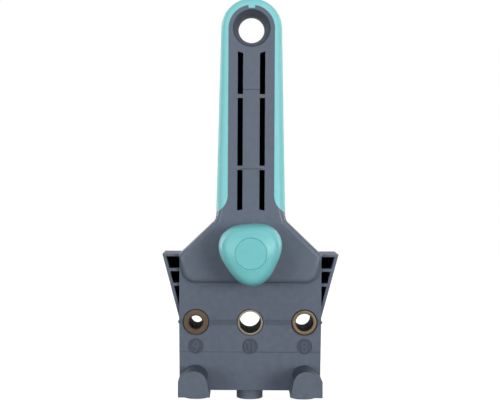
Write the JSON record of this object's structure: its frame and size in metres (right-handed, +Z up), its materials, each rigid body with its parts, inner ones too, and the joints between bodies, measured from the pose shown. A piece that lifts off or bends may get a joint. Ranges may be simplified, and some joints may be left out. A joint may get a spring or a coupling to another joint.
{
  "type": "self-centring dowelling jig",
  "caption": "Handheld dowelling jig: knob-driven jaws centre a drill guide block on a board's edge, with a long soft-grip handle and hang hole.",
  "frame": {"origin": "on the axis of the middle drill guide, in the rear face that meets the board's edge", "axes": "+Z up along the handle, -Y out of the drill guides towards the user, +X to the user's right"},
  "size_m": [0.0834, 0.0733, 0.1898],
  "materials": {
    "dark_moulding": "fine matt blue-grey moulding",
    "turquoise_grip": "soft matt turquoise grip",
    "turquoise_knob": "satin turquoise moulding",
    "dark_plate": "matt dark moulding",
    "dark_pins": "dark coated steel",
    "guide_steel": "turned, warm yellow-brown passivation",
    "steel_screws": "zinc plated",
    "spring_steel": "ground",
    "bronze": "sintered, oiled",
    "acetal": "smooth moulding",
    "pad_rubber": "matt grooved rubber"
  },
  "bodies": {
    "jig": {"handle_frame": "dark_moulding", "handle_grip": "turquoise_grip", "guide_body": "dark_moulding", "rear_plate": "dark_plate", "rear_plate_screws": "steel_screws", "head_screws": "steel_screws", "bushing_6": "guide_steel", "bushing_8": "guide_steel", "bushing_10": "guide_steel", "gear_cover": "dark_plate", "gear_cover_screws": "steel_screws", "shaft_bush": "bronze", "friction_washer": "spring_steel", "guide_pin_left": "dark_pins", "guide_pin_middle": "dark_pins", "guide_pin_right": "dark_pins"},
    "knob_drive": {"knob": "turquoise_knob", "knob_cap": "turquoise_knob", "knob_screw": "steel_screws", "drive_shaft": "spring_steel", "pinion": "bronze", "shaft_clip": "spring_steel"},
    "upper_slide": {"upper_rack": "acetal", "upper_jaw": "dark_plate", "upper_jaw_pad": "pad_rubber", "upper_jaw_screws": "steel_screws"},
    "lower_slide": {"lower_rack": "acetal", "lower_jaw": "dark_plate", "lower_jaw_pad": "pad_rubber", "lower_jaw_screws": "steel_screws"}
  },
  "joints": [
    {"name": "knob_turn", "type": "hinge", "parent": "jig", "child": "knob_drive", "pos_m": [0, -0.031, 0.0338], "axis": [0, -1, 0], "range_deg": [-49.1, 49.1]},
    {"name": "upper_jaw_slide", "type": "slide", "parent": "jig", "child": "upper_slide", "axis": [0, 0, 1], "range_m": [-0.006, 0.006]},
    {"name": "lower_jaw_slide", "type": "slide", "parent": "jig", "child": "lower_slide", "axis": [0, 0, -1], "range_m": [-0.006, 0.006]}
  ],
  "couplings": [
    {"joint": "upper_jaw_slide", "follows": "knob_turn", "m_per_rad": 0.007},
    {"joint": "lower_jaw_slide", "follows": "knob_turn", "m_per_rad": 0.007}
  ]
}
